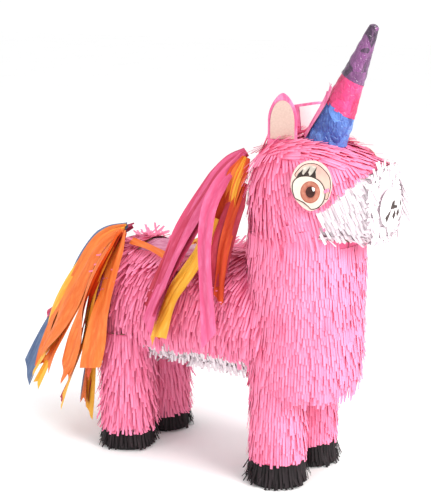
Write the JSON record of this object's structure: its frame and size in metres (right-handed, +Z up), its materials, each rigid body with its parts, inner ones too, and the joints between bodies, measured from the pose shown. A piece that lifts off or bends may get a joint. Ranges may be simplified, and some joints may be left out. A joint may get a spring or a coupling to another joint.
{
  "type": "unicorn pinata",
  "caption": "Standing unicorn pinata: cardboard body, neck, head and legs in fringed tissue paper, with a fill flap in the back, a wrapped horn, card labels and tissue streamers.",
  "frame": {"origin": "on the floor, under the middle of the whole unicorn's box", "axes": "+X the way the unicorn faces, +Y its left side, +Z up"},
  "size_m": [0.7338, 0.225, 0.7135],
  "materials": {
    "cardboard": "matte",
    "pink_tissue": "matte",
    "white_tissue": "matte",
    "black_tissue": "matte",
    "back_tissue": "matte",
    "horn_blue": "satin",
    "horn_pink": "satin",
    "horn_purple": "satin",
    "ear_lining": "matte",
    "label_card": "satin",
    "streamer_orange": "matte",
    "streamer_yellow": "matte",
    "streamer_blue": "matte",
    "streamer_hot_pink": "matte",
    "streamer_light_pink": "matte",
    "streamer_crimson": "matte"
  },
  "bodies": {
    "unicorn": {"barrel_shell": "cardboard", "rump_cap": "cardboard", "neck_floor": "cardboard", "neck_shell": "cardboard", "head_shell": "cardboard", "muzzle_shell": "cardboard", "muzzle_cap": "cardboard", "hanger_board": "cardboard", "back_patch": "back_tissue", "leg_fore_right": "cardboard", "sole_fore_right": "cardboard", "hoof_fringe_fore_right": "black_tissue", "leg_fringe_fore_right": "pink_tissue", "leg_fore_left": "cardboard", "sole_fore_left": "cardboard", "hoof_fringe_fore_left": "black_tissue", "leg_fringe_fore_left": "pink_tissue", "leg_hind_right": "cardboard", "sole_hind_right": "cardboard", "hoof_fringe_hind_right": "black_tissue", "leg_fringe_hind_right": "pink_tissue", "leg_hind_left": "cardboard", "sole_hind_left": "cardboard", "hoof_fringe_hind_left": "black_tissue", "leg_fringe_hind_left": "pink_tissue", "body_fringe": "pink_tissue", "rump_fringe": "pink_tissue", "belly_fringe": "white_tissue", "neck_fringe": "pink_tissue", "head_fringe": "pink_tissue", "muzzle_fringe": "white_tissue", "horn_cone": "cardboard", "horn_wrap_blue": "horn_blue", "horn_wrap_pink": "horn_pink", "horn_wrap_purple": "horn_purple", "forelock_fringe": "pink_tissue", "ear_right": "pink_tissue", "ear_lining_right": "ear_lining", "ear_left": "pink_tissue", "ear_lining_left": "ear_lining", "eye_label_right": "label_card", "eye_label_left": "label_card", "mouth_label": "label_card", "mane_pink_outer": "streamer_hot_pink", "mane_pink_front": "streamer_light_pink", "mane_yellow": "streamer_yellow", "mane_orange": "streamer_orange", "mane_crimson": "streamer_crimson", "mane_back_orange": "streamer_orange", "mane_back_yellow": "streamer_yellow", "tail_orange_outer": "streamer_orange", "tail_orange_middle": "streamer_orange", "tail_orange_inner": "streamer_orange", "tail_yellow": "streamer_yellow", "tail_blue": "streamer_blue", "tail_pink": "streamer_hot_pink", "tail_crimson": "streamer_crimson"},
    "flap": {"fill_flap": "cardboard", "flap_cover": "back_tissue"}
  },
  "joints": [
    {"name": "fill_flap_hinge", "type": "hinge", "parent": "unicorn", "child": "flap", "pos_m": [-0.0106, 0.04349, 0.3423], "axis": [-1, 0, 0], "range_deg": [0, 110]}
  ]
}
